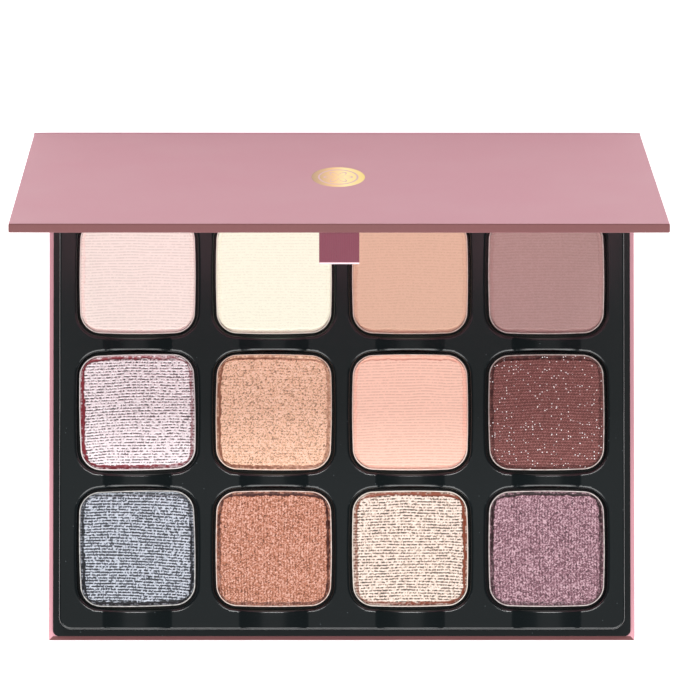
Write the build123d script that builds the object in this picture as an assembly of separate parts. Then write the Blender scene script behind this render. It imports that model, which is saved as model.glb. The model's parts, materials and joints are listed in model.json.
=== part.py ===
"""Slim book-style eyeshadow palette: wrapped paperboard cover, moulded tray and twelve lift-out pans.

Millimetres, +Z up. The origin is the centre of the base panel's underside. +Y points to the spine, -Y to
the edge that opens. Everything of the cover is built closed, then turned about its creases to stand open.
"""
from build123d import *
import os
from math import asin, cos, sin

# ---- driving dimensions ----
pan_size = 27.0             # side of a square pan, across the middle of its bowed sides
pan_bow = 0.4               # how far the middle of a pan's side stands out from its ends
pan_corner = 4.9            # corner radius of a pan
pan_height = 5.1
pan_foot_round = 0.3
pan_sheet = 0.22            # tinplate of a pan, drawn
pan_pitch = 31.75
pan_rows = 3
pan_columns = 4
pan_turns = [               # how far each pan sits turned in its well, in degrees, front row first
    [1.0, 0.0, 0.3, 0.1],
    [1.1, -0.4, 0.1, 0.3],
    [0.0, 0.2, 0.0, 0.2],
]
powder_below_rim = 0.3
powder_edge = 0.25          # bevel round the top of a pressed cake
well_gap = 0.6              # between a pan and the wall of its well

board = 1.6                 # greyboard
paper = 0.2                 # wrapping and lining paper, with its glue
turn_in = 12.0              # paper folded over a board's edge onto its inside
glue_film = 0.2
magnet_sheet = 1.0
sheet_inset = 0.6           # of the bonding sheet inside the tray's wall

tray_wall = 0.9
deck_height = 10.0          # top of the tray above the table
deck_width = 131.4
deck_depth = 100.8
deck_corner = 2.8
foot_corner = 1.4
wall_spread = 0.5           # how much further out each wall stands at its foot than at the deck
flange_width = 1.3          # glued down all round the tray's foot
flange_height = 0.9
rim_round = 0.8             # rounding of the rims of the wells
edge_round = 0.4            # rounding of the deck's outer rim

scoop_width = 14.8          # finger scoop in front of each pan
scoop_depth = 1.9
scoop_lip = 2.0             # rounding where a scoop meets the deck

base_margin = 1.0           # of the base panel around the tray's foot
lid_width = 141.4
lid_overhang = 2.1          # of the lid past the base at the front
lid_offset = -1.1           # the cover sits this far to one side of the base
lining_inset = 2.5
crease_gap = 0.3            # between the base or the lid and the spine when shut
spine_gap = 0.4             # between the ends of the spine's board and the lines it folds about
crease_clear = 0.15         # paper ends this far from the line that it folds about
closed_gap = 0.3            # between the lid's lining and the deck when shut

spine_rest = 54.0           # how far the spine leans back in the stored pose
lid_rest = 21.65            # how far the lid is opened from square to the spine

tab_width = 8.6
tab_length = 6.4
tab_thickness = 0.5
tab_from_edge = 1.05        # from the lid's front edge to the middle of the ribbon
tab_root = 0.3              # ribbon between the lid and the bend

seal_width = 12.0
seal_length = 24.0
seal_sink = 0.08
seal_foil = 0.05

clasp_x = 31.75             # of the two pairs of clasp magnets, left and right of the middle
clasp_y = -48.1
clasp_length = 10.0
lid_clasp = (2.8, 1.2)      # depth and height of a magnet in the lid
base_clasp = (2.4, 2.0)     # of a magnet under the deck

# ---- sizes that follow ----
panel = board + 2 * paper
wall_width = deck_width + 2 * wall_spread
wall_depth = deck_depth + 2 * wall_spread
foot_width = wall_width + 2 * flange_width
foot_depth = wall_depth + 2 * flange_width
base_width = foot_width + 2 * base_margin
base_depth = foot_depth + 2 * base_margin
base_back = base_depth / 2
spine_outside = base_back + crease_gap + panel
lid_inside = deck_height + closed_gap + paper
lid_outside = lid_inside + panel
lid_front = -base_back - lid_overhang
lower_crease = (spine_outside - paper / 2, paper / 2)
upper_crease = (spine_outside - paper / 2, lid_outside - paper / 2)
well_floor = panel + glue_film + magnet_sheet
pan_bottom = well_floor + tray_wall
pan_top = pan_bottom + pan_height


def block(x, y, z):
    """A box between two values on each axis."""
    corner = (min(x), min(y), min(z))
    return Pos(*corner) * Box(
        max(x) - min(x), max(y) - min(y), max(z) - min(z), align=(Align.MIN, Align.MIN, Align.MIN)
    )


def centred(width):
    """The two ends of a width about the middle."""
    return (-width / 2, width / 2)


def bowed_square(size, bow, corner):
    """A square outline with its sides bowed outwards and its corners rounded."""
    tip = size / 2 - bow
    tips = [(-tip, -tip), (tip, -tip), (tip, tip), (-tip, tip)]
    middles = [(0, -size / 2), (size / 2, 0), (0, size / 2), (-size / 2, 0)]
    sides = [ThreePointArc(tips[i], middles[i], tips[(i + 1) % 4]) for i in range(4)]
    face = make_face(sides)
    return fillet(face.vertices(), corner)


def pan_places():
    """Name, centre and turn of every pan, named by row from the spine and by column from the left."""
    for row in range(pan_rows):
        for column in range(pan_columns):
            x = (column - (pan_columns - 1) / 2) * pan_pitch
            y = (row - (pan_rows - 1) / 2) * pan_pitch
            name = f"r{pan_rows - row}c{column + 1}"
            yield name, x, y, pan_turns[row][column]


# ---- the moulded tray ----
def scoop_outline(depth, half_width, lip):
    """Section of a finger scoop below the deck: a round hollow that rolls over into the deck."""
    # the hollow's circle and each lip's circle touch, so their centres are a radius sum apart
    run = half_width
    hollow = (run**2 + depth**2 - 2 * lip * depth) / (2 * depth)
    reach = hollow / (hollow + lip)
    touch = (run * reach, -lip + (hollow - depth + lip) * (1 - reach))
    half_turn = asin((run - touch[0]) / lip) / 2
    bottom = (0, -depth)
    lip_middle = (run - lip * sin(half_turn), lip * cos(half_turn) - lip)
    outline = [
        ThreePointArc((-touch[0], touch[1]), bottom, touch),
        ThreePointArc(touch, lip_middle, (run, 0)),
        Line((run, 0), (run, 2)),
        Line((run, 2), (-run, 2)),
        Line((-run, 2), (-run, 0)),
        ThreePointArc((-run, 0), (-lip_middle[0], lip_middle[1]), (-touch[0], touch[1])),
    ]
    return make_face(outline)


def scoop_cutter(x, y, front, spread=0.0):
    """A scoop's hollow in front of the pan at x, y, grown by spread all round."""
    outline = scoop_outline(scoop_depth + spread, scoop_width / 2 + scoop_lip / 2 + spread, scoop_lip)
    start = y - pan_size / 2 + spread
    length = start - front
    return Pos(x, start, deck_height) * extrude(Plane.XZ * outline, length)


def tray_block(inset, top):
    """The tray's drafted outside down to its foot, or its hollow underside when set in by a wall."""
    foot = RectangleRounded(wall_width - 2 * inset, wall_depth - 2 * inset, deck_corner - inset)
    deck = RectangleRounded(deck_width - 2 * inset, deck_depth - 2 * inset, deck_corner - inset)
    return loft([Pos(0, 0, panel) * foot, Pos(0, 0, top) * deck])


def tray_shell():
    flange = extrude(RectangleRounded(foot_width, foot_depth, foot_corner), flange_height)
    tray = tray_block(0, deck_height) + Pos(0, 0, panel) * flange
    hollow = tray_block(tray_wall, deck_height - tray_wall)
    well = bowed_square(pan_size + 2 * well_gap, pan_bow, pan_corner + well_gap)
    cup = bowed_square(
        pan_size + 2 * well_gap + 2 * tray_wall, pan_bow, pan_corner + well_gap + tray_wall
    )
    cups = []
    for _, x, y, _ in pan_places():
        last = y - pan_pitch < -pan_pitch * pan_rows / 2
        front = -foot_depth if last else y - pan_pitch + pan_size / 2
        tray -= Pos(x, y, pan_bottom) * extrude(well, deck_height)
        tray -= scoop_cutter(x, y, front)
        cups.append(Pos(x, y, well_floor) * extrude(cup, deck_height))
        cups.append(scoop_cutter(x, y, front - tray_wall, tray_wall))
    tray = fillet(list(rims(tray, outer=False)), rim_round)
    tray = fillet(list(rims(tray, outer=True)), edge_round)
    return tray - (hollow - cups)


def rims(tray, outer):
    """The edges where the deck and the scoops end, at the tray's outside or at its wells."""
    lowest = deck_height - scoop_depth - 0.01
    top_faces = [face for face in tray.faces() if face.bounding_box().min.Z > lowest]
    edges = [edge for face in top_faces for edge in face.edges()]
    ends = [edge for edge in edges if sum(edge.is_same(other) for other in edges) == 1]
    for edge in ends:
        middle = edge.center()
        outside = abs(middle.X) > deck_width / 2 - 1 or abs(middle.Y) > deck_depth / 2 - 1
        if outside == outer:
            yield edge


# ---- the wrapped panels, built shut ----
def wrapped_panel(x, y, z, outside_up):
    """Board and pink wrap of one panel; the wrap folds over three edges and runs on to the crease."""
    core = block((x[0] + paper, x[1] - paper), (y[0] + paper, y[1] - paper), (z[0] + paper, z[1] - paper))
    inside = (z[0], z[0] + paper) if outside_up else (z[1] - paper, z[1])
    outside = (z[1] - paper, z[1]) if outside_up else (z[0], z[0] + paper)
    window = block((x[0] + turn_in, x[1] - turn_in), (y[0] + turn_in, y[1] - turn_in), inside)
    wrap = block(x, y, z) - core - window
    wrap += block(x, (y[1], lower_crease[0] - crease_clear), outside)
    return core, wrap


def base_panel():
    return wrapped_panel(centred(base_width), centred(base_depth), (0, panel), outside_up=False)


def lid_span():
    return (lid_offset - lid_width / 2, lid_offset + lid_width / 2)


def lid_panel():
    """Lid board with pockets for the clasp magnets and the ribbon, and its wrap with a slit and a seal."""
    core, wrap = wrapped_panel(lid_span(), (lid_front, base_back), (lid_inside, lid_outside), outside_up=True)
    core -= lid_magnets()
    core -= tab_anchor()
    wrap -= tab_anchor()
    wrap -= Pos(lid_offset, seal_place(), lid_outside - seal_sink) * extrude(
        Ellipse(seal_width / 2, seal_length / 2), 1
    )
    return core, wrap


def seal_place():
    return (lid_front + base_back) / 2


def foil_seal():
    oval = Ellipse(seal_width / 2, seal_length / 2)
    return Pos(lid_offset, seal_place(), lid_outside - seal_sink) * extrude(oval, seal_foil)


def lid_lining():
    x = lid_span()
    return block(
        (x[0] + lining_inset, x[1] - lining_inset),
        (lid_front + lining_inset, base_back - lining_inset),
        (lid_inside - paper, lid_inside),
    )


def spine_parts():
    """Spine board, its wrap round both ends, and the lining on its inside, standing upright."""
    x = lid_span()
    y = (spine_outside - panel, spine_outside)
    z = (lower_crease[1] + spine_gap, upper_crease[1] - spine_gap)
    core = block((x[0] + paper, x[1] - paper), (y[0] + paper, y[1] - paper), z)
    window = block((x[0] + turn_in / 2, x[1] - turn_in / 2), (y[0], y[0] + paper), z)
    wrap = block(x, y, z) - core - window
    creases = (lower_crease[1] + crease_clear, upper_crease[1] - crease_clear)
    wrap += block(x, (y[1] - paper, y[1]), creases)
    return core, wrap, window


# ---- the ribbon tab ----
def tab_middle():
    return lid_front + tab_from_edge


def tab_bend():
    """The line that the ribbon bends about, just below the lid's inside."""
    return (tab_middle(), lid_inside - tab_root)


def tab_anchor():
    """The end of the ribbon glued into the lid's board, and the stub that comes out through the wrap."""
    x = [lid_offset + end for end in centred(tab_width)]
    y = [tab_middle() + end for end in centred(tab_thickness)]
    pocket = block(x, (y[0], y[0] + turn_in), (lid_inside + paper, lid_inside + paper + tab_thickness))
    stub = block(x, y, (lid_inside - tab_root, lid_inside + paper))
    return pocket + stub


def pull_tab():
    """The ribbon, folded double, hanging from its bend when the lid is shut."""
    bend_y, bend_z = tab_bend()
    x = [lid_offset + end for end in centred(tab_width)]
    y = [bend_y + end for end in centred(tab_thickness)]
    root = bend_z - tab_root
    tab = block(x, y, (root, root - tab_length))
    return fillet(tab.edges().group_by(Axis.Z)[0].filter_by(Axis.X), tab_thickness * 0.4)


# ---- clasp magnets ----
def magnet_pair(depth, bottom, height):
    """Two bar magnets in a row along the opening edge."""
    y = [clasp_y + end for end in centred(depth)]
    for middle in (-clasp_x, clasp_x):
        x = [middle + end for end in centred(clasp_length)]
        yield block(x, y, (bottom, bottom + height))


def lid_magnets():
    """The pair let into the inside of the lid's board."""
    depth, height = lid_clasp
    return list(magnet_pair(depth, lid_inside + paper, height))


def base_magnets():
    """The pair glued up under the deck's front margin."""
    depth, height = base_clasp
    return list(magnet_pair(depth, deck_height - tray_wall - height, height))


# ---- what holds the tray and the pans ----
def bonding_sheet():
    """Double-sided sheet between the base and what stands on it, padded out inside the turned-in wrap."""
    inset = tray_wall + sheet_inset
    x = centred(wall_width - 2 * inset)
    y = centred(wall_depth - 2 * inset)
    pad = block(centred(base_width - 2 * turn_in), centred(base_depth - 2 * turn_in), (panel - paper, panel))
    return block(x, y, (panel, panel + glue_film)) + pad


def pan_magnet():
    """One flexible magnetic sheet under the floors of all the wells."""
    x = centred((pan_columns - 1) * pan_pitch + pan_size + 2 * well_gap)
    y = centred((pan_rows - 1) * pan_pitch + pan_size + 2 * well_gap)
    return block(x, y, (panel + glue_film, well_floor))


# ---- pans and powders ----
def pan_cup():
    outside = extrude(bowed_square(pan_size, pan_bow, pan_corner), pan_height)
    inside = extrude(pan_mouth(), pan_height)
    cup = outside - Pos(0, 0, pan_sheet) * inside
    return fillet(cup.faces().sort_by(Axis.Z)[0].edges(), pan_foot_round)


def pan_mouth():
    return bowed_square(pan_size - 2 * pan_sheet, pan_bow, pan_corner - pan_sheet)


def powder_cake():
    cake = Pos(0, 0, pan_sheet) * extrude(pan_mouth(), pan_height - pan_sheet - powder_below_rim)
    return chamfer(cake.faces().sort_by(Axis.Z)[-1].edges(), powder_edge)


def seated(shape, x, y, turn):
    return Pos(x, y, pan_bottom) * Rot(0, 0, turn) * shape


# ---- turning the shut cover open ----
def opened(shape, *turns):
    """Turn a shape about one crease after another, each a (y, z) line along X and an angle."""
    for (y, z), angle in turns:
        shape = shape.rotate(Axis((0, y, z), (1, 0, 0)), -angle)
    return shape


def all_parts():
    spine_turn = (lower_crease, spine_rest)
    lid_turn = (upper_crease, lid_rest)
    parts = {"tray": tray_shell()}
    parts["base_board"], parts["base_wrap"] = base_panel()
    parts["bonding_sheet"] = bonding_sheet()
    parts["pan_magnet_sheet"] = pan_magnet()
    parts["base_magnets"] = Compound(base_magnets())
    cup, cake = pan_cup(), powder_cake()
    for name, x, y, turn in pan_places():
        parts[f"pan_{name}"] = seated(cup, x, y, turn)
        parts[f"powder_{name}"] = seated(cake, x, y, turn)
    spine = dict(zip(("spine_board", "spine_wrap", "spine_lining"), spine_parts()))
    lid = dict(zip(("lid_board", "lid_wrap"), lid_panel()))
    lid["lid_lining"] = lid_lining()
    lid["lid_magnets"] = Compound(lid_magnets())
    lid["foil_seal"] = foil_seal()
    lid["tab_anchor"] = tab_anchor()
    lid["pull_tab"] = pull_tab()
    for name, shape in spine.items():
        parts[name] = opened(shape, spine_turn)
    for name, shape in lid.items():
        parts[name] = opened(shape, lid_turn, spine_turn)
    return parts


os.makedirs("parts", exist_ok=True)
for part_name, part_shape in all_parts().items():
    export_step(part_shape, f"parts/{part_name}.step")
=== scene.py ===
import json
from math import cos, pi, radians, sin

import bmesh
import bpy
import numpy as np
from mathutils import Matrix, Vector


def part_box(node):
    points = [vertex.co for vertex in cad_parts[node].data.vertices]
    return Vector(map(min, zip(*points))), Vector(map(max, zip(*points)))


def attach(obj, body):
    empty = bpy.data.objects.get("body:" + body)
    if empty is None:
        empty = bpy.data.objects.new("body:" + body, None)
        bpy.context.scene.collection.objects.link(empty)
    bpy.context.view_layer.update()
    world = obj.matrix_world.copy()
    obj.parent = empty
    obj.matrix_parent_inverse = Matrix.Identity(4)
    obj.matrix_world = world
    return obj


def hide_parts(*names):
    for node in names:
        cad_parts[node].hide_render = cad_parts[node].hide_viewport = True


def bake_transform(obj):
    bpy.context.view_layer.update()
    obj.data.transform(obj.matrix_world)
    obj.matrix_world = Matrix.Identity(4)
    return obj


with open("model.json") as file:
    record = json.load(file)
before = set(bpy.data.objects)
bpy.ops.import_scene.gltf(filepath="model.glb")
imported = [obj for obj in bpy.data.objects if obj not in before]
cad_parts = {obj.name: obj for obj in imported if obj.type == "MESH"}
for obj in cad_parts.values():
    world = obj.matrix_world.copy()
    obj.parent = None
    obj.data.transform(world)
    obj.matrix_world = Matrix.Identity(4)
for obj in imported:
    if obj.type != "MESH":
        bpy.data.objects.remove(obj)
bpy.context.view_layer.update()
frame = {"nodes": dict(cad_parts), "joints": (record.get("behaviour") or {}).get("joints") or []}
mm = 0.001


# ---- greyboard cores ----
# Lid, spine and base are each a sheet of recycled greyboard, 1.6 mm, cut square. The paper wraps
# them all round, so their fibrous grey would only show at a torn corner.
def linear(colour):
    """An sRGB hex colour as the linear colour that a shader takes."""
    parts = [int(colour[i:i + 2], 16) / 255 for i in (0, 2, 4)]
    return [p / 12.92 if p <= 0.04045 else ((p + 0.055) / 1.055) ** 2.4 for p in parts] + [1]


def add(tree, kind, inputs=None, **settings):
    """Adds a node. inputs gives each socket a value, or the output that feeds it."""
    node = tree.nodes.new("ShaderNode" + kind)
    for name, value in settings.items():
        setattr(node, name, value)
    for socket, value in (inputs or {}).items():
        if isinstance(value, bpy.types.NodeSocket):
            tree.links.new(value, node.inputs[socket])
        else:
            node.inputs[socket].default_value = value
    return node


def new_material(name, roughness=0.5, metallic=0.0, ior=1.5):
    """A material with one surface shader; returns it, its node tree and the shader."""
    material = bpy.data.materials.new(name)
    material.use_nodes = True
    tree = material.node_tree
    tree.nodes.clear()
    values = {"Roughness": roughness, "Metallic": metallic, "IOR": ior}
    surface = add(tree, "BsdfPrincipled", values)
    add(tree, "OutputMaterial", {"Surface": surface.outputs[0]})
    return material, tree, surface


def feed(tree, surface, **outputs):
    """Links outputs to the shader's sockets; an underscore stands for a space in a name."""
    for socket, output in outputs.items():
        tree.links.new(output, surface.inputs[socket.replace("_", " ")])


def grained(name, dark, light, grain, relief=0.0, detail=2.0, **finish):
    """A material that wanders between two colours in blobs about a grain across, which may
    stand up in relief. finish is its roughness, metallic and ior."""
    material, tree, surface = new_material(name, **finish)
    on_piece = add(tree, "TexCoord").outputs["Object"]
    blobs = add(tree, "TexNoise", {"Vector": on_piece, "Scale": 0.5 / grain, "Detail": detail}).outputs[0]
    colour = add(tree, "Mix", {0: blobs, 6: linear(dark), 7: linear(light)}, data_type="RGBA").outputs[2]
    feed(tree, surface, Base_Color=colour)
    if relief:
        feed(tree, surface, Normal=add(tree, "Bump", {"Height": blobs, "Distance": relief}).outputs[0])
    return material


def dress(node, *materials):
    """Gives a CAD piece, or a new one, its materials."""
    piece = frame["nodes"][node] if isinstance(node, str) else node
    if piece.data.materials:
        piece.data.materials.clear()
    for material in materials:
        piece.data.materials.append(material)
    return piece


greyboard = grained("greyboard_recycled_pulp", "6f6a63", "a09a90", 0.6 * mm, relief=0.05 * mm, detail=5,
                    roughness=0.95)
for board in ("base_board", "spine_board", "lid_board"):
    dress(board, greyboard)


# ---- what bonds and holds ----
# A clear double-sided sheet glues the tray down, a black magnetic rubber sheet under the wells
# holds the tin pans, and two pairs of sintered bar magnets keep the lid shut.
bond = grained("acrylic_bonding_film", "cfcabc", "e2ddd0", 3 * mm, roughness=0.35, ior=1.48)
dress("bonding_sheet", bond)

magnet_rubber = grained("ferrite_filled_rubber_sheet", "15120f", "2b2622", 0.3 * mm, relief=0.02 * mm,
                        detail=3, roughness=0.6)
dress("pan_magnet_sheet", magnet_rubber)

nickel = grained("nickel_plated_magnet", "a8a39a", "cbc6bd", 1.2 * mm, detail=3, roughness=0.3, metallic=1.0)
for pair in ("base_magnets", "lid_magnets"):
    dress(pair, nickel)


# ---- the wrapped cover ----
# Dusty pink matt-laminated paper is glued round the three boards and turned in over their edges,
# which rounds the edges of lid and base. Those edges get a darker copy of the paper as painted
# shade, and the base's paper is painted a little lighter than the lid's as painted light. Lid
# and spine are made shut, then turned about the creases to stand as the CAD pieces do.
joint = {j["name"]: j for j in frame["joints"]}


def swing(joint_name):
    """The turn about a crease from shut to the stored pose, as a matrix in the frame."""
    j = joint[joint_name]
    line = Vector(j["pos_m"])
    turned = Matrix.Rotation(radians(-j["range_deg"][0]), 4, Vector(j["axis"]))
    return Matrix.Translation(line) @ turned @ Matrix.Translation(-line)


spine_swing = swing("cover_spine_crease")
lid_swing = swing("cover_lid_crease") @ spine_swing

paper_edge_round = 0.28 * mm
lid_overhang = 2.1 * mm
base_low, base_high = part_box("base_board")
wrap_paper = 0.2 * mm
panel_thickness = base_high.z - base_low.z + 2 * wrap_paper
base_front = base_low.y - wrap_paper
base_back = base_high.y + wrap_paper
lower_crease = Vector(joint["cover_spine_crease"]["pos_m"])
upper_crease = spine_swing.inverted() @ Vector(joint["cover_lid_crease"]["pos_m"])
lid_low, lid_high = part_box("lid_wrap")
lid_sides = (lid_low.x, lid_high.x)
lid_outside = upper_crease.z + wrap_paper / 2
lid_front = base_front - lid_overhang
crease_to_board = 0.4 * mm


def wrap_material(name, dark, light, fibre):
    """Matt-laminated paper: an even colour, a faint felt of fibres and a soft gloss that comes
    and goes in wide clouds."""
    material, tree, surface = new_material(name, ior=1.38)
    on_piece = add(tree, "TexCoord").outputs["Object"]
    felt = add(tree, "TexNoise", {"Vector": on_piece, "Scale": 0.5 / fibre, "Detail": 4}).outputs[0]
    cloud = add(tree, "TexNoise", {"Vector": on_piece, "Scale": 0.5 / (9 * mm), "Detail": 2}).outputs[0]
    mixed = add(tree, "Math", {0: felt, 1: cloud}, operation="MULTIPLY").outputs[0]
    colour = add(tree, "Mix", {0: mixed, 6: linear(dark), 7: linear(light)}, data_type="RGBA").outputs[2]
    gloss = add(tree, "MapRange", {"Value": cloud, "To Min": 0.46, "To Max": 0.62}).outputs[0]
    relief = add(tree, "Bump", {"Height": felt, "Distance": 0.006 * mm}).outputs[0]
    feed(tree, surface, Base_Color=colour, Roughness=gloss, Normal=relief)
    return material


pink_paper = wrap_material("matt_laminated_pink_paper", "cb8d99", "d0929f", 0.35 * mm)
# painted light: the base gets a lighter copy of the lid's paper, for its faces that turn up to the light
lit_base_paper = wrap_material("pink_paper_painted_lighter_for_the_base", "db9fa9", "e0a5b0", 0.35 * mm)
# painted shade: a darker copy of the pink paper for the board edges and the base's front margin
shaded_edge_paper = wrap_material("pink_paper_painted_with_edge_shade", "714344", "7d4c4c", 0.35 * mm)


def board_in_paper(low, high):
    """A board with its paper, from one corner to the other, every edge rounded."""
    bm = bmesh.new()
    bmesh.ops.create_cube(bm, size=1)
    bmesh.ops.scale(bm, vec=high - low, verts=bm.verts)
    bmesh.ops.translate(bm, vec=(low + high) / 2, verts=bm.verts)
    bmesh.ops.bevel(bm, geom=bm.edges[:], offset=paper_edge_round, segments=3, affect="EDGES",
                    profile=0.5, material=-1, clamp_overlap=True)
    return bm


def finished(bm, name, turned=None, smooth=True):
    """Turns a bmesh into an object whose place is in its mesh."""
    if turned:
        bmesh.ops.transform(bm, matrix=turned, verts=bm.verts)
    mesh = bpy.data.meshes.new(name)
    bm.to_mesh(mesh)
    bm.free()
    if smooth:
        mesh.shade_smooth()
    piece = bpy.data.objects.new(name, mesh)
    bpy.context.scene.collection.objects.link(piece)
    return piece


def mark_edges(bm, front=None):
    """Gives the darker edge paper, a painted shade, to the faces along the opening edge and along the
    spine. front is the half width and the back line of a front margin that gets it on top too, mitred, as
    painted shadow of the tray."""
    bm.normal_update()
    for face in bm.faces:
        middle = face.calc_center_median()
        if abs(face.normal.y) > 0.5:
            face.material_index = 1
        elif front and face.normal.z > 0.5:
            side, line = front
            if middle.y < line and side - abs(middle.x) > middle.y - base_front:
                face.material_index = 1


def sharpen(piece):
    """Flat faces stay flat beside their rounded edges."""
    piece.modifiers.new("even_faces", "WEIGHTED_NORMAL").keep_sharp = True


def wrapped_panel(name, bm, body, replaced, turned=None, paper=pink_paper):
    """One board in its paper, riding the body that its CAD wrap rides."""
    panel = finished(bm, name, turned)
    dress(panel, paper, shaded_edge_paper)
    sharpen(panel)
    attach(panel, body)
    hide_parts(replaced)


# cuts across the base's top mark off its front margin, which takes the edge paper too, as painted shadow at
# the tray's foot
tray_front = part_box("tray")[0].y
panel_side = base_high.x + wrap_paper
bm = board_in_paper(Vector((base_low.x - wrap_paper, base_front, 0)),
                    Vector((panel_side, base_back, panel_thickness)))
for place_on, facing in (((0, tray_front, 0), (0, 1, 0)), ((panel_side, base_front, 0), (1, 1, 0)),
                         ((-panel_side, base_front, 0), (-1, 1, 0))):
    bmesh.ops.bisect_plane(bm, geom=bm.verts[:] + bm.edges[:] + bm.faces[:], plane_co=place_on,
                           plane_no=facing)
mark_edges(bm, (panel_side, tray_front))
wrapped_panel("base_panel_paper", bm, "base", "base_wrap", paper=lit_base_paper)

# the seal is sunk into the lid's outside: an oval is cut into that face and pushed down
seal_middle = Vector(((lid_sides[0] + lid_sides[1]) / 2, (lid_front + base_back) / 2, lid_outside))
seal_half = Vector((6.0 * mm, 12.0 * mm, 1))
seal_depth = 0.06 * mm
seal_sides = 96
bm = board_in_paper(Vector((lid_sides[0], lid_front, lid_outside - panel_thickness)),
                    Vector((lid_sides[1], base_back, lid_outside)))
mark_edges(bm)
outside = max(bm.faces, key=lambda face: face.calc_center_median().z)
frame_edges = outside.edges[:]
bmesh.ops.delete(bm, geom=[outside], context="FACES_ONLY")
oval = bmesh.ops.create_circle(bm, segments=seal_sides, radius=1)["verts"]
bmesh.ops.scale(bm, vec=seal_half, verts=oval)
bmesh.ops.translate(bm, vec=seal_middle, verts=oval)
oval_edges = list({e for v in oval for e in v.link_edges})
bmesh.ops.triangle_fill(bm, edges=frame_edges + oval_edges, use_beauty=True, use_dissolve=False)
sunk = bmesh.ops.extrude_edge_only(bm, edges=oval_edges)["geom"]
sunk_verts = [v for v in sunk if isinstance(v, bmesh.types.BMVert)]
sunk_edges = [e for e in sunk if isinstance(e, bmesh.types.BMEdge)]
bmesh.ops.translate(bm, vec=(0, 0, -seal_depth), verts=sunk_verts)
bmesh.ops.contextual_create(bm, geom=sunk_edges)
bmesh.ops.recalc_face_normals(bm, faces=bm.faces)
wrapped_panel("lid_panel_paper", bm, "lid", "lid_wrap", lid_swing)

spine_face = lower_crease.y + wrap_paper / 2
spine_low = lower_crease.z + crease_to_board
spine_high = upper_crease.z - crease_to_board
bm = board_in_paper(Vector((lid_sides[0], spine_face - panel_thickness, spine_low)),
                    Vector((lid_sides[1], spine_face, spine_high)))
wrapped_panel("spine_panel_paper", bm, "spine", "spine_wrap", spine_swing)


# ---- the creases ----
# Between two boards there is only paper: a narrow hinge strip that folds when the cover shuts.
# Each strip is tucked into the panels on both sides and bends between them.
crease_tuck = 0.8 * mm
crease_bend = 0.55 * mm
crease_steps = 8


def crease_strip(name, line, along_first, along_second, gap_first, gap_second, sides):
    """A strip of paper round a crease line, from inside one panel to inside the next."""
    first = [line - along_first * d for d in (gap_first + crease_tuck, crease_bend)]
    second = [line + along_second * d for d in (crease_bend, gap_second + crease_tuck)]
    bm = bmesh.new()
    bmesh.ops.create_grid(bm, x_segments=1, y_segments=crease_steps + 2, size=1)
    for vert in bm.verts:
        x = sides[0] if vert.co.x < 0 else sides[1]
        step = round((vert.co.y + 1) / 2 * (crease_steps + 2))
        if step == 0:
            at = first[0]
        elif step == crease_steps + 2:
            at = second[1]
        else:
            t = (step - 1) / crease_steps
            at = first[1] * (1 - t) ** 2 + line * 2 * t * (1 - t) + second[0] * t ** 2
        vert.co = Vector((x, at.y, at.z))
    bm.normal_update()
    thickness = wrap_paper * 0.8  # thinner than the wrap, so that it stays inside the panels
    for vert in bm.verts:
        vert.co += vert.normal * thickness / 2
    bmesh.ops.solidify(bm, geom=bm.faces[:], thickness=thickness)
    strip = finished(bm, name)
    dress(strip, pink_paper)
    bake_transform(strip)


spine_up = (spine_swing.to_3x3() @ Vector((0, 0, 1))).normalized()
lid_ahead = (lid_swing.to_3x3() @ Vector((0, -1, 0))).normalized()
upper_crease_now = Vector(joint["cover_lid_crease"]["pos_m"])
base_sides = (base_low.x - wrap_paper, base_high.x + wrap_paper)
crease_gap = lower_crease.y - base_back
crease_strip("base_crease_paper", lower_crease, Vector((0, 1, 0)), spine_up, crease_gap,
             crease_to_board, base_sides)
crease_strip("lid_crease_paper", upper_crease_now, spine_up, lid_ahead, crease_to_board,
             crease_gap, lid_sides)


# ---- the linings ----
# A sheet of matching pink paper is glued inside the lid and inside the spine, over the edges
# that the wrap turns in. Both stay as the CAD makes them and only get their finish here.
lining_paper = wrap_material("matt_pink_lining_paper", "c68f99", "cf99a3", 0.3 * mm)
for lining in ("lid_lining", "spine_lining"):
    dress(lining, lining_paper)


# ---- the black tray ----
# Moulded in one piece in black ABS, in a tool with a fine spark-eroded finish, which gives it
# its satin. A few specks of powder dust lie on it.
dust_pitch = 1.6 * mm
dusted_share = 0.2
abs_black, tree, surface = new_material("satin_black_abs", roughness=0.2, ior=1.54)
on_piece = add(tree, "TexCoord").outputs["Object"]
spark = add(tree, "TexNoise", {"Vector": on_piece, "Scale": 0.5 / (0.12 * mm), "Detail": 2}).outputs[0]
cloud = add(tree, "TexNoise", {"Vector": on_piece, "Scale": 0.5 / (14 * mm), "Detail": 3}).outputs[0]
plain = add(tree, "Mix", {0: cloud, 6: linear("050c0e"), 7: linear("081113")}, data_type="RGBA").outputs[2]
dust = add(tree, "TexVoronoi", {"Vector": on_piece, "Scale": 1 / dust_pitch})
fleck = add(tree, "MapRange", {"Value": dust.outputs["Distance"], "From Min": 0.06, "From Max": 0.1,
                               "To Min": 1.0, "To Max": 0.0})
chance = add(tree, "SeparateColor", {0: dust.outputs["Color"]}).outputs[0]
chosen = add(tree, "Math", {0: chance, 1: 1 - dusted_share}, operation="GREATER_THAN")
dusty = add(tree, "Math", {0: fleck.outputs[0], 1: chosen.outputs[0]}, operation="MULTIPLY").outputs[0]
colour = add(tree, "Mix", {0: dusty, 6: plain, 7: linear("3c4446")}, data_type="RGBA").outputs[2]
relief = add(tree, "Bump", {"Height": spark, "Distance": 0.004 * mm}).outputs[0]
feed(tree, surface, Base_Color=colour, Normal=relief)
dress("tray", abs_black)
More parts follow.
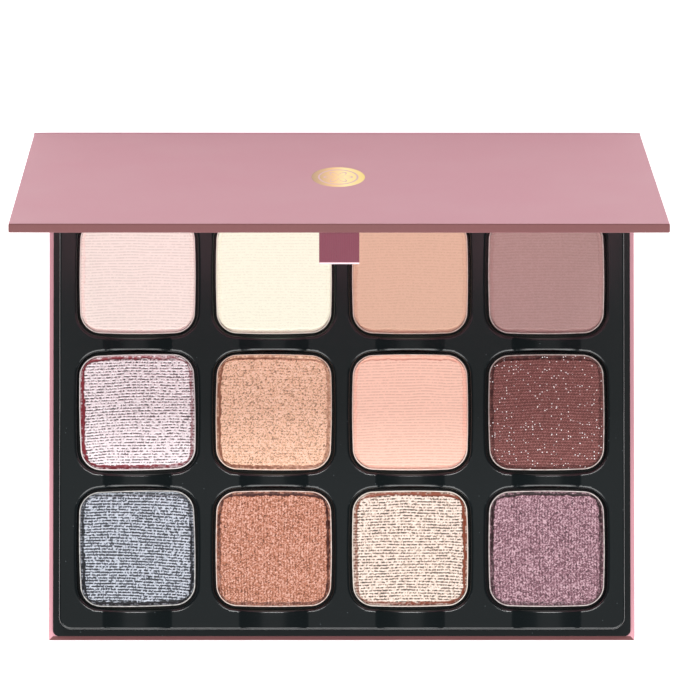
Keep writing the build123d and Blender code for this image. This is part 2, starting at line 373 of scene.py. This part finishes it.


# ---- pans and pressed powders ----
# Each pan is a square cup drawn from tinplate, a little bowed, with a thin cut rim that keeps a
# trace of its shade. The powder is pressed into it under a cloth, which leaves ribs and a woven
# grain on top and a sunken margin along the tin, painted darker as painted shade, most on one
# side. Its sizes here are in mm.
powder_side = 26.54
powder_corner = 4.68
powder_bow = 0.4
margin_width = 1.0
gutter_depth = 0.2
gutter_inner, gutter_outer = 0.5, 0.3
crumb_height = 0.03
rib_pitch = 0.665
dash_length = 0.28
dot_pitch = 0.62
skirt = 2.0
grid_steps = 228  # how finely the top is cut

# tone is the powder's own colour and edge the colour of the painted shade on its margin. turn
# is how far the pan sits turned, lines how far its print is turned, and side where the margin's
# painted shade is heaviest and its gutter deepest, all in degrees.
shades = {
    "r1c1": dict(look="ribbed_matte", tone="f0e4dc", edge="eac6c0", turn=0.0, lines=0, side=180),
    "r1c2": dict(look="plain_matte", tone="f4fae4", edge="eeebd6", turn=0.2, lines=0, side=180),
    "r1c3": dict(look="plain_matte", tone="d8b49c", edge="b98672", turn=0.0, lines=0, side=180),
    "r1c4": dict(look="plain_matte", tone="a88884", edge="9f7572", turn=0.2, lines=0, side=180),
    "r2c1": dict(look="ribbed_metallic", tone="d8ccd0", edge="7c2631", turn=1.1, lines=0, side=190),
    "r2c2": dict(look="woven_satin", tone="e8b898", edge="8a5a44", turn=-0.4, lines=0, side=180),
    "r2c3": dict(look="ribbed_matte", tone="f0c4b0", edge="e09683", turn=0.1, lines=0, side=90),
    "r2c4": dict(look="ribbed_glitter", tone="804c48", edge="2c0a08", turn=0.3, lines=0, side=120),
    "r3c1": dict(look="ribbed_metallic", tone="4a505a", edge="14161c", turn=1.0, lines=-3, side=270),
    "r3c2": dict(look="woven_satin", tone="ac6c50", edge="380b02", turn=0.0, lines=90, side=60),
    "r3c3": dict(look="ribbed_metallic", tone="bca898", edge="7c3c25", turn=0.3, lines=0, side=20),
    "r3c4": dict(look="woven_satin", tone="7c5460", edge="1c0406", turn=0.1, lines=90, side=110),
}
# rib is the height of a pressed rib and grain the cloth's grit, in mm. level is how bright the
# ribs are painted, gap how far they spread over the grooves, dash how far the grooves break into
# dashes and speck how gritty they look. dark is the painted shade of a groove, its brightness
# against the tone, and shine how far a rib is painted towards a highlight. flake is how far
# single mica flakes overrule the print, wear how strong the margin's painted shade and sinking
# are, and dots is for a print of dots instead of dashes.
looks = {
    "ribbed_matte": dict(rib=0.03, level=1.0, gap=0.4, dash=0.4, grain=0.006, speck=0.12, dark=0.8,
                         rib_highlight=0.12, metallic=0.0, roughness=0.9, flake=0.12, margin_sinking_and_shade=0.5, dots=False),
    "plain_matte": dict(rib=0.006, level=0.8, gap=0.4, dash=0.7, grain=0.012, speck=0.3, dark=0.9,
                        rib_highlight=0.05, metallic=0.0, roughness=0.9, flake=0.35, margin_sinking_and_shade=0.4, dots=False),
    "ribbed_metallic": dict(rib=0.08, level=1.0, gap=0.18, dash=0.85, grain=0.06, speck=0.85, dark=0.12,
                            rib_highlight=0.55, metallic=0.2, roughness=0.4, flake=0.22, margin_sinking_and_shade=1.6, dots=False),
    "woven_satin": dict(rib=0.02, level=0.68, gap=0.6, dash=0.9, grain=0.06, speck=1.0, dark=0.3,
                        rib_highlight=0.45, metallic=0.2, roughness=0.4, flake=0.5, margin_sinking_and_shade=1.4, dots=False),
    "ribbed_glitter": dict(rib=0.05, level=1.0, gap=0.3, dash=1.0, grain=0.02, speck=0.4, dark=0.5,
                           rib_highlight=0.18, metallic=0.0, roughness=0.85, flake=0.3, margin_sinking_and_shade=1.0, dots=True),
}


def grit(x, y, size, seed):
    """Smooth random relief from -1 to 1, with bumps about size across, the same on every run."""
    cells = 97  # bumps along a side before the relief repeats
    heights = np.random.default_rng(seed).uniform(-1, 1, (cells, cells))
    u, v = x / size + 11.3, y / size + 7.9
    i, j = np.floor(u).astype(int), np.floor(v).astype(int)
    a, b = u - i, v - j
    a, b = a * a * (3 - 2 * a), b * b * (3 - 2 * b)

    def at(column, row):
        return heights[column % cells, row % cells]

    return ((at(i, j) * (1 - a) + at(i + 1, j) * a) * (1 - b)
            + (at(i, j + 1) * (1 - a) + at(i + 1, j + 1) * a) * b)


def step_up(value, start, end):
    """0 before start, 1 after end and a smooth rise between them."""
    t = np.clip((value - start) / (end - start), 0, 1)
    return t * t * (3 - 2 * t)


def pressed(x, y, look, seed):
    """Height in mm of the cloth's print, and its share from groove to rib."""
    wander = 0.15 * grit(x, y, 5.0, seed) + 0.3 * (x / powder_side * 2) ** 2
    row = (y + wander) / rib_pitch
    line = np.floor(row)
    groove = step_up(0.5 - 0.5 * np.cos(2 * pi * row), look["gap"], look["gap"] + 0.5)
    if look["dots"]:
        wave = 2 * pi * x / dot_pitch + pi * (line % 2) + grit(x, y, 1.5, seed + 2)
        rise = (1 - groove) * (1 - look["dash"] * (0.5 - 0.5 * np.cos(wave)))
    else:
        thread = grit(x, line * 3, dash_length, seed + 1) + 0.25 * grit(x, line * 3, 0.8, seed + 2)
        stitch = step_up(thread, -0.7, 0.15)
        rise = 1 - groove * (1 - look["dash"] * (1 - stitch))
    fine = 0.5 * grit(x, y, 0.24, seed + 3) + 0.5 * grit(x, y, 0.15, seed + 4)
    height = look["rib"] * rise + look["grain"] * fine
    share = np.clip(look["level"] * rise + look["speck"] * fine, 0, 1)
    return height, share


def rounded(x, y):
    """Maps a square onto the pan's mouth: round corners, then bowed sides."""
    half, corner = powder_side / 2, powder_corner
    inner = half - corner
    dx, dy = np.clip(np.abs(x) - inner, 0, None), np.clip(np.abs(y) - inner, 0, None)
    cx = dx * np.sqrt(1 - dy ** 2 / (2 * corner ** 2))
    cy = dy * np.sqrt(1 - dx ** 2 / (2 * corner ** 2))
    mx = np.sign(x) * (np.minimum(np.abs(x), inner) + cx)
    my = np.sign(y) * (np.minimum(np.abs(y), inner) + cy)
    bow = powder_bow / half
    return mx * (1 - bow * (my / half) ** 2), my * (1 - bow * (mx / half) ** 2)


def powder_cake(name, look, shade, seed):
    """A pressed cake: a fine grid on top, shaped by the print, and a skirt down into the tin."""
    bm = bmesh.new()
    bmesh.ops.create_grid(bm, x_segments=grid_steps, y_segments=grid_steps, size=powder_side / 2)
    rim = [e for e in bm.edges if e.is_boundary]
    walls = bmesh.ops.extrude_edge_only(bm, edges=rim)
    low_verts = [v for v in walls["geom"] if isinstance(v, bmesh.types.BMVert)]
    low_edges = [e for e in walls["geom"] if isinstance(e, bmesh.types.BMEdge)]
    bmesh.ops.translate(bm, vec=(0, 0, -skirt), verts=low_verts)
    bmesh.ops.contextual_create(bm, geom=low_edges)
    bmesh.ops.recalc_face_normals(bm, faces=bm.faces)
    cake = finished(bm, name)
    co = np.zeros(len(cake.data.vertices) * 3)
    cake.data.vertices.foreach_get("co", co)
    co = co.reshape(-1, 3)
    top = co[:, 2] > -skirt / 2
    inward = powder_side / 2 - np.maximum(np.abs(co[:, 0]), np.abs(co[:, 1]))
    x, y = rounded(co[:, 0], co[:, 1])

    # the print fills the middle; round it run a ragged gutter and, at the tin, a crumbly bank
    lines = radians(shade["lines"])
    height, share = pressed(x * cos(lines) + y * sin(lines), y * cos(lines) - x * sin(lines), look, seed)
    ragged = inward + 0.12 * grit(x, y, 0.5, seed + 5) + 0.14 * grit(x, y, 2.4, seed + 6)
    uneven = ragged + 0.15 * grit(x, y, 0.6, seed + 10)
    plateau = step_up(uneven, margin_width * 0.8, margin_width)
    gutter = step_up(ragged, gutter_outer, gutter_inner) * (1 - plateau)
    bank = (1 - plateau) * (1 - gutter)
    # painted shade: the margin darkens most towards side, where the gutter also sinks deepest
    sinking_and_shade = look["margin_sinking_and_shade"] * (0.72 + 0.28 * np.cos(np.arctan2(y, x) - radians(shade["side"])))
    crumb = crumb_height * grit(x, y, 0.25, seed + 7)
    sunk = gutter_depth * gutter * (0.4 + 0.6 * sinking_and_shade)
    co[:, 2] += top * (height * plateau + (1 - plateau) * crumb - sunk)
    co[:, 0], co[:, 1] = x, y

    # the cake is turned as its pan sits and set down so that its ribs end at the powder's top
    seat = np.array(Matrix.Rotation(radians(shade["turn"]), 3, "Z"))
    low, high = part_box(name.replace("cake", "powder"))
    co = co @ seat.T * mm
    co += np.array(((low.x + high.x) / 2, (low.y + high.y) / 2, high.z - look["rib"] * mm))
    cake.data.vertices.foreach_set("co", co.ravel())

    # patches of painted shade in the gutter and on the bank
    patchy = step_up(grit(x, y, 0.7, seed + 8) + 0.5 * grit(x, y, 0.3, seed + 9), -0.5, 0.6)
    margin_shade = np.clip(sinking_and_shade * (gutter * (0.7 + 0.3 * patchy) + bank * (0.2 + 0.5 * patchy)), 0, 1)
    for label, values in (("print", share), ("margin_shade", margin_shade)):
        layer = cake.data.attributes.new(label, "FLOAT", "POINT")
        layer.data.foreach_set("value", values.astype(np.float32))
    return cake


def powder_material(name, shade, look):
    """Pressed pigment. A groove is painted a darker tone, a painted shade, and a rib is painted
    towards a paler one, a painted highlight; mica flakes of 0.26 mm, coarser than real ones so
    that they show, break the print up."""
    material, tree, surface = new_material(name, look["roughness"], look["metallic"], ior=1.45)
    on_piece = add(tree, "TexCoord").outputs["Object"]
    ribs = add(tree, "Attribute", attribute_name="print").outputs["Fac"]
    margin_shade = add(tree, "Attribute", attribute_name="margin_shade").outputs["Fac"]
    mica = add(tree, "TexVoronoi", {"Vector": on_piece, "Scale": 1 / (0.26 * mm)})
    flake = add(tree, "SeparateColor", {0: mica.outputs["Color"]}).outputs[0]
    level = add(tree, "Mix", {0: look["flake"], 2: ribs, 3: flake}).outputs[0]

    tone = linear(shade["tone"])[:3]
    # painted shade and painted highlight: the groove colour is the tone darkened, the rib colour the tone
    # paled
    groove = [part * look["dark"] for part in tone]
    highlight_tint = [0.5 + 0.5 * part / max(tone) for part in tone]
    rib = [part + (most - part) * look["rib_highlight"] for part, most in zip(tone, highlight_tint)]
    ramp = add(tree, "ValToRGB", {0: level})
    stops = ramp.color_ramp.elements
    stops[0].position, stops[0].color = 0.15, groove + [1]
    stops[1].position, stops[1].color = 0.85, rib + [1]
    stops.new(0.5).color = tone + [1]
    # the margin's painted shade mixes in the edge colour
    inputs = {0: margin_shade, 6: ramp.outputs[0], 7: linear(shade["edge"])}
    colour = add(tree, "Mix", inputs, data_type="RGBA").outputs[2]

    if shade["look"] == "ribbed_glitter":
        # polyester glitter of 0.2 mm, drawn a little larger so that single flakes still show; the chosen
        # flakes are painted pure white as painted glints
        glitter = add(tree, "TexVoronoi", {"Vector": on_piece, "Scale": 1 / (0.55 * mm)})
        chance = add(tree, "SeparateColor", {0: glitter.outputs["Color"]}).outputs[0]
        chosen = add(tree, "Math", {0: chance, 1: 0.7}, operation="GREATER_THAN").outputs[0]
        near = add(tree, "Math", {0: glitter.outputs["Distance"], 1: 0.23}, operation="LESS_THAN").outputs[0]
        glitter_glint = add(tree, "Math", {0: chosen, 1: near}, operation="MULTIPLY").outputs[0]
        inputs = {0: glitter_glint, 6: colour, 7: linear("ffffff")}
        colour = add(tree, "Mix", inputs, data_type="RGBA").outputs[2]
    relief = add(tree, "Bump", {"Height": flake, "Distance": 0.03 * mm * look["flake"]}).outputs[0]
    feed(tree, surface, Base_Color=colour, Normal=relief)
    return material


for number, (name, shade) in enumerate(shades.items()):
    look = looks[shade["look"]]
    cake = powder_cake("cake_" + name, look, shade, 100 * number + 7)
    dress(cake, powder_material("pressed_powder_" + name, shade, look))
    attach(cake, "pan_" + name)
    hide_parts("powder_" + name)
    tin = grained("tinplate_dusted_" + name, shade["tone"], "f4f0ea", 0.5 * mm, detail=3, roughness=0.5,
                  metallic=1.0)
    dress("pan_" + name, tin)


# ---- foil seal ----
# An oval of gold foil, hot-stamped into the middle of the lid's paper. The stamp leaves a fine
# ring and a plain six-petal rosette where the pink shows through.
ring_radius = 0.72  # shares of the way from the seal's middle to its edge
petal_root = 0.1
petal_length = 0.42
line_width = 0.035


def seal_ornament(tree):
    """1 where the foil is, 0 on the lines of the ring and the rosette."""
    flat = lid_swing.inverted().to_euler()
    middle = -(lid_swing.to_3x3().inverted() @ (lid_swing @ seal_middle))
    on_piece = add(tree, "TexCoord").outputs["Object"]
    on_lid = add(tree, "Mapping", {"Vector": on_piece, "Rotation": flat, "Location": middle})
    axes = add(tree, "SeparateXYZ", {0: on_lid.outputs[0]})
    value = {"x": axes.outputs[0], "y": axes.outputs[1]}
    for result, operation, *terms in (
            ("along", "DIVIDE", "x", seal_half.x),
            ("across", "DIVIDE", "y", seal_half.y),
            ("along squared", "MULTIPLY", "along", "along"),
            ("radius squared", "MULTIPLY_ADD", "across", "across", "along squared"),
            ("radius", "SQRT", "radius squared"),
            ("angle", "ARCTAN2", "across", "along"),
            ("three angles", "MULTIPLY", "angle", 3.0),
            ("wave", "COSINE", "three angles"),
            ("lobe", "ABSOLUTE", "wave"),
            ("petal", "MULTIPLY_ADD", "lobe", petal_length, petal_root),
            ("off petal", "SUBTRACT", "radius", "petal"),
            ("from petal", "ABSOLUTE", "off petal"),
            ("off ring", "SUBTRACT", "radius", ring_radius),
            ("from ring", "ABSOLUTE", "off ring"),
            ("from line", "MINIMUM", "from petal", "from ring"),
            ("foil", "GREATER_THAN", "from line", line_width)):
        inputs = {socket: value.get(term, term) for socket, term in enumerate(terms)}
        value[result] = add(tree, "Math", inputs, operation=operation).outputs[0]
    return value["foil"]


foil, tree, surface = new_material("hot_stamped_gold_foil", roughness=0.32, metallic=1.0)
# painted reflection: the foil runs from deep to pale gold across the seal, as if it mirrored a
# bright room on one side and a dim one on the other
on_piece = add(tree, "TexCoord").outputs["Object"]
across_seal = add(tree, "SeparateXYZ", {0: on_piece}).outputs[0]
painted_reflection = add(tree, "MapRange", {"Value": across_seal, "From Min": seal_middle.x - seal_half.x,
                              "From Max": seal_middle.x + seal_half.x})
ramp = add(tree, "ValToRGB", {0: painted_reflection.outputs[0]})
stops = ramp.color_ramp.elements
stops[0].position, stops[0].color = 0.0, linear("a17011")
stops[1].position, stops[1].color = 1.0, linear("ebce4a")
stops.new(0.4).color = linear("ebbc68")
stops.new(0.62).color = linear("ffe495")
pattern = seal_ornament(tree)
inputs = {0: pattern, 6: linear("d09ba5"), 7: ramp.outputs[0]}
colour = add(tree, "Mix", inputs, data_type="RGBA").outputs[2]
relief = add(tree, "Bump", {"Height": pattern, "Distance": 0.02 * mm}).outputs[0]
feed(tree, surface, Base_Color=colour, Metallic=pattern, Normal=relief)

bm = bmesh.new()
bmesh.ops.create_circle(bm, segments=seal_sides, radius=1, cap_ends=True)
bmesh.ops.scale(bm, vec=seal_half * 0.995, verts=bm.verts)
thick = bmesh.ops.extrude_face_region(bm, geom=bm.faces[:])["geom"]
lifted = [v for v in thick if isinstance(v, bmesh.types.BMVert)]
bmesh.ops.translate(bm, vec=(0, 0, seal_depth * 0.7), verts=lifted)
bmesh.ops.translate(bm, vec=seal_middle - Vector((0, 0, seal_depth)), verts=bm.verts)
bmesh.ops.recalc_face_normals(bm, faces=bm.faces)
seal = dress(finished(bm, "foil_oval", lid_swing, smooth=False), foil)
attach(seal, "lid")
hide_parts("foil_seal")


# ---- the ribbon tab ----
# Plum satin ribbon, 8.6 mm wide, folded double. Its cut ends are glued into the lid's board and
# the fold hangs out, with a pale line along it that is a painted highlight on the fold.
ribbon_bend = lid_swing.inverted() @ Vector(joint["pull_tab_bend"]["pos_m"])
ribbon_half = Vector((4.3 * mm, 0.25 * mm, 0))
ribbon_hang = 6.7 * mm
ribbon_top = lid_outside - panel_thickness + 2 * wrap_paper
ribbon_end = ribbon_bend.z - ribbon_hang
fold_highlight_width = 0.3 * mm
bm = bmesh.new()
bmesh.ops.create_cube(bm, size=1)
bmesh.ops.scale(bm, vec=(ribbon_half.x * 2, ribbon_half.y * 2, ribbon_top - ribbon_end), verts=bm.verts)
middle = Vector((ribbon_bend.x, ribbon_bend.y, (ribbon_top + ribbon_end) / 2))
bmesh.ops.translate(bm, vec=middle, verts=bm.verts)
low_edges = [e for e in bm.edges if all(v.co.z < middle.z for v in e.verts)]
fold = [e for e in low_edges if e.verts[0].co.y == e.verts[1].co.y]
bmesh.ops.bevel(bm, geom=fold, offset=ribbon_half.y * 0.96, segments=4, affect="EDGES", profile=0.5,
                material=-1)
# cuts across it give the pale line its edges and add rows of points where the ribbon leaves the lid
cuts = [ribbon_end + fold_highlight_width, ribbon_end + 1.6 * fold_highlight_width, ribbon_bend.z - 0.9 * mm]
cuts += [ribbon_bend.z + step * 0.1 * mm for step in range(-6, 7, 2)]
for height in cuts:
    bmesh.ops.bisect_plane(bm, geom=bm.verts[:] + bm.edges[:] + bm.faces[:],
                           plane_co=(0, 0, height), plane_no=(0, 0, 1))
fold_highlight = [1.0 if v.co.z < ribbon_end + 1.1 * fold_highlight_width else 0.0 for v in bm.verts]
ribbon = finished(bm, "satin_ribbon_tab", lid_swing)
sharpen(ribbon)
layer = ribbon.data.attributes.new("fold_highlight", "FLOAT", "POINT")
layer.data.foreach_set("value", fold_highlight)

satin, tree, surface = new_material("plum_satin_ribbon", roughness=0.42)
# satin floats lie about 0.1 mm apart; drawn at 0.4 mm so that they still show
on_piece = add(tree, "TexCoord").outputs["Object"]
floats = add(tree, "TexWave", {"Vector": on_piece, "Scale": 1 / (pi * 0.4 * mm), "Distortion": 0.6},
             bands_direction="X").outputs["Fac"]
silk = add(tree, "Mix", {0: floats, 6: linear("691b34"), 7: linear("711f39")}, data_type="RGBA").outputs[2]
crease = add(tree, "Attribute", attribute_name="fold_highlight").outputs["Fac"]
# painted highlight: the fold's line takes a pale pink
colour = add(tree, "Mix", {0: crease, 6: silk, 7: linear("f3cfd6")}, data_type="RGBA").outputs[2]
relief = add(tree, "Bump", {"Height": floats, "Distance": 0.03 * mm}).outputs[0]
feed(tree, surface, Base_Color=colour, Normal=relief)
surface.inputs["Sheen Weight"].default_value = 0.05
dress(ribbon, satin)
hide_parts("pull_tab", "tab_anchor")
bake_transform(ribbon)


# ---- studio ----
# A white table in a dim white room. A large softbox stands in front, a narrow strip and a faint
# square panel hang over it, and a low faint softbox stands behind. The table glows faintly,
# which keeps the shadow behind the lid pale.
bm = bmesh.new()
bmesh.ops.create_grid(bm, x_segments=1, y_segments=1, size=6)
floor = finished(bm, "table_top", Matrix.Translation((0, 0, -0.2 * mm)))
table_white, tree, surface = new_material("white_table", roughness=0.8)
surface.inputs["Base Color"].default_value = linear("ffffff")
surface.inputs["Emission Color"].default_value = linear("ffffff")
surface.inputs["Emission Strength"].default_value = 0.4
dress(floor, table_white)


def soft_light(name, at, towards, size, power):
    """A rectangular softbox."""
    lamp = bpy.data.lights.new(name, "AREA")
    lamp.shape = "RECTANGLE"
    lamp.size, lamp.size_y = size
    lamp.energy = power
    light = bpy.data.objects.new(name, lamp)
    light.location = at
    light.rotation_euler = (Vector(towards) - Vector(at)).to_track_quat("-Z", "Y").to_euler()
    bpy.context.scene.collection.objects.link(light)


soft_light("front_softbox", (0, -1.2, 1.25), (0, 0, 0), (2.4, 1.2), 44)
soft_light("strip_over_the_lid", (0, 0.62, 1.5), (0, 0, 0), (0.9, 0.22), 12)
soft_light("ceiling_panel", (0, 0, 1.6), (0, 0, 0), (1.0, 1.0), 0.75)
soft_light("back_softbox", (0, 1.5, 0.62), (0, 0, 0.03), (1.6, 0.35), 1.2)
world = bpy.data.worlds.new("soft_room")
world.use_nodes = True
room = world.node_tree.nodes["Background"]
room.inputs["Color"].default_value = linear("ffffff")
room.inputs["Strength"].default_value = 0.12
bpy.context.scene.world = world
bpy.context.scene.view_settings.view_transform = "Standard"

# the camera stands high over the palette with a long lens, so that its sides taper only a little
camera_at = Vector((-6.3, -26.8, 1263.0)) * mm
looked_at = Vector((-0.55, 17.1, 5.0)) * mm
camera_data = bpy.data.cameras.new("camera")
camera_data.lens = 285.5
camera_data.sensor_width = 36
camera_data.clip_start, camera_data.clip_end = 0.05, 50
camera = bpy.data.objects.new("camera", camera_data)
back = (camera_at - looked_at).normalized()
right = Vector((0, 1, 0)).cross(back).normalized()
up = back.cross(right)
camera.matrix_world = Matrix.Translation(camera_at) @ Matrix((right, up, back)).transposed().to_4x4()
bpy.context.scene.collection.objects.link(camera)
bpy.context.scene.camera = camera
